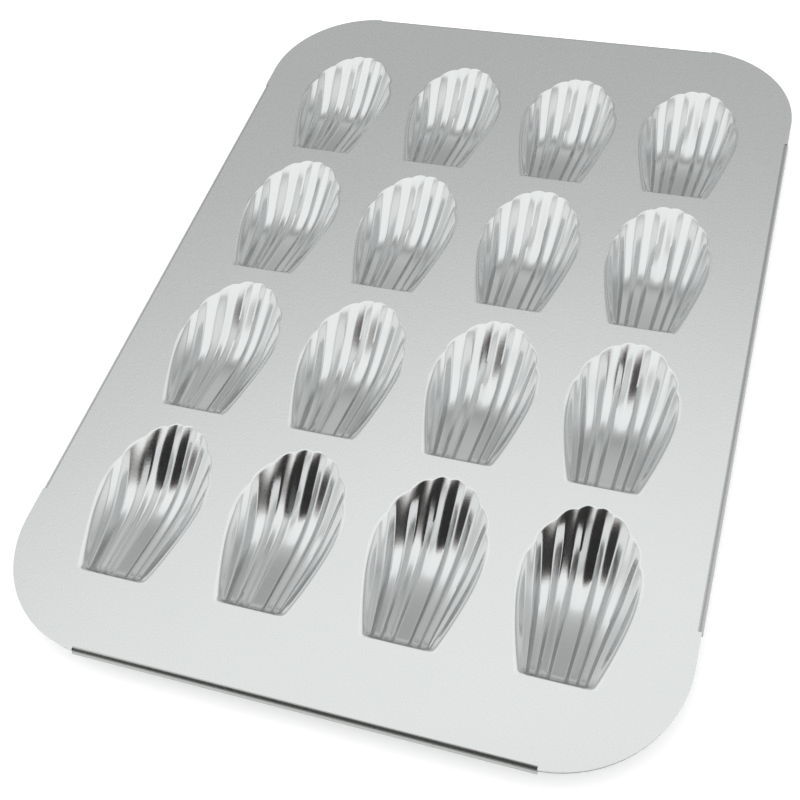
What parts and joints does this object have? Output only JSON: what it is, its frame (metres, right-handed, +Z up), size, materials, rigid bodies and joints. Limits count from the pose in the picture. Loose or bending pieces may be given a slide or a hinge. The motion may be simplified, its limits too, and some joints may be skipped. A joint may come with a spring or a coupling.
{
  "type": "madeleine pan",
  "caption": "Flat sheet-steel baking pan with rows of fluted shell-shaped wells, wide round corners and wire-rolled sides.",
  "frame": {"origin": "under the middle of the pan, on the surface that the wells' bottoms stand on", "axes": "+Z up out of the wells; +Y along the pan towards the wells' wide fan ends; +X across the pan"},
  "size_m": [0.278, 0.4, 0.0148],
  "materials": {
    "coated_steel_deck": "satin grey non-stick coating with a fine orange-peel grain, flat deck and rolled edges",
    "coated_steel_well": "the same grey coating drawn smooth and shinier in the wells",
    "galvanised_wire": "drawn galvanised steel wire, dull"
  },
  "bodies": {
    "root": {"deck_r1": "coated_steel_deck", "deck_r2": "coated_steel_deck", "deck_r3": "coated_steel_deck", "deck_r4": "coated_steel_deck", "hem_front": "coated_steel_deck", "hem_back": "coated_steel_deck", "hem_left": "coated_steel_deck", "hem_right": "coated_steel_deck", "rim_wire": "galvanised_wire", "well_r1_c1": "coated_steel_well", "well_r1_c2": "coated_steel_well", "well_r1_c3": "coated_steel_well", "well_r1_c4": "coated_steel_well", "well_r2_c1": "coated_steel_well", "well_r2_c2": "coated_steel_well", "well_r2_c3": "coated_steel_well", "well_r2_c4": "coated_steel_well", "well_r3_c1": "coated_steel_well", "well_r3_c2": "coated_steel_well", "well_r3_c3": "coated_steel_well", "well_r3_c4": "coated_steel_well", "well_r4_c1": "coated_steel_well", "well_r4_c2": "coated_steel_well", "well_r4_c3": "coated_steel_well", "well_r4_c4": "coated_steel_well"}
  },
  "joints": []
}
